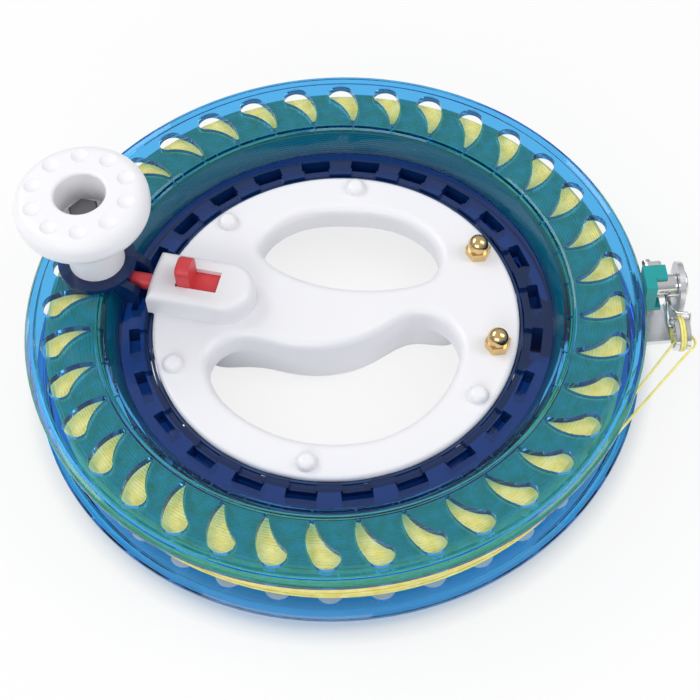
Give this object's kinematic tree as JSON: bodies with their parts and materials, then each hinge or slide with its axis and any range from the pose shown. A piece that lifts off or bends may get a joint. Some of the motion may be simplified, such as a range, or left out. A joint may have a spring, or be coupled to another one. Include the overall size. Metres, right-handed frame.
{
  "type": "kite line winder",
  "caption": "Hand-held kite line winder: a flanged spool runs on a large ball race round a handle with finger holes, with a crank knob, a sliding lock and a line guide.",
  "frame": {"origin": "on the spool's axis, in the plane of the grip's flat back, on which the winder rests", "axes": "+Z along the spool's axis, towards the side with the crank knob; +X towards the line guide"},
  "size_m": [0.2376, 0.22, 0.0735],
  "materials": {
    "flange_blue": "clear tinted",
    "hub_navy": "clear tinted",
    "white_plastic": "gloss",
    "red_plastic": "gloss",
    "teal_plastic": "satin",
    "line_yellow": "woven",
    "steel": "brushed",
    "bright_steel": "polished",
    "brass": "polished",
    "bush_white": "matt"
  },
  "bodies": {
    "handle": {"front_shell": "white_plastic", "rear_shell": "white_plastic", "shell_screws": "bright_steel", "race_inner_ring": "bright_steel", "lock_retainer": "white_plastic", "retainer_screws": "bright_steel", "bracket_bolts": "bright_steel", "acorn_nuts": "brass", "guide_bracket": "steel", "guide_upright": "steel", "block_rivets": "bright_steel", "guide_block": "teal_plastic", "guide_pin": "bright_steel", "clip_pin": "bright_steel", "line_lead": "line_yellow"},
    "ball_cage": {"race_balls": "bright_steel", "race_cage": "bush_white"},
    "spool": {"spool_front_half": "flange_blue", "spool_rear_half": "flange_blue", "hub_ring": "hub_navy", "winding_core": "line_yellow", "winding_turns": "line_yellow", "knob_bracket": "hub_navy", "knob_axle": "steel", "knob_washer": "bright_steel", "knob_nut": "steel"},
    "knob": {"crank_knob": "white_plastic", "knob_bush": "bush_white"},
    "lock": {"lock_slider": "red_plastic"},
    "roller": {"guide_roller": "bright_steel"},
    "clip": {"wire_clip": "bright_steel", "guide_ring": "bright_steel"}
  },
  "joints": [
    {"name": "spool_spin", "type": "hinge", "parent": "handle", "child": "spool", "pos_m": [0, 0, 0.02], "axis": [0, 0, 1], "continuous": true},
    {"name": "cage_spin", "type": "hinge", "parent": "handle", "child": "ball_cage", "pos_m": [0, 0, 0.02], "axis": [0, 0, 1], "continuous": true},
    {"name": "knob_spin", "type": "hinge", "parent": "spool", "child": "knob", "pos_m": [-0.08417, 0.0267, 0.055], "axis": [0, 0, 1], "continuous": true},
    {"name": "lock_slide", "type": "slide", "parent": "handle", "child": "lock", "axis": [0.9563, -0.2924, 0], "range_m": [0, 0.0085]},
    {"name": "roller_spin", "type": "hinge", "parent": "handle", "child": "roller", "pos_m": [0.1185, 0.0008, 0.0287], "axis": [1, 0, 0], "continuous": true},
    {"name": "clip_swing", "type": "hinge", "parent": "handle", "child": "clip", "pos_m": [0.1185, 0.0008, 0.022], "axis": [1, 0, 0], "range_deg": [-12, 15], "deforming": ["line_lead"]}
  ],
  "couplings": [
    {"joint": "cage_spin", "follows": "spool_spin", "ratio": 0.5187}
  ]
}
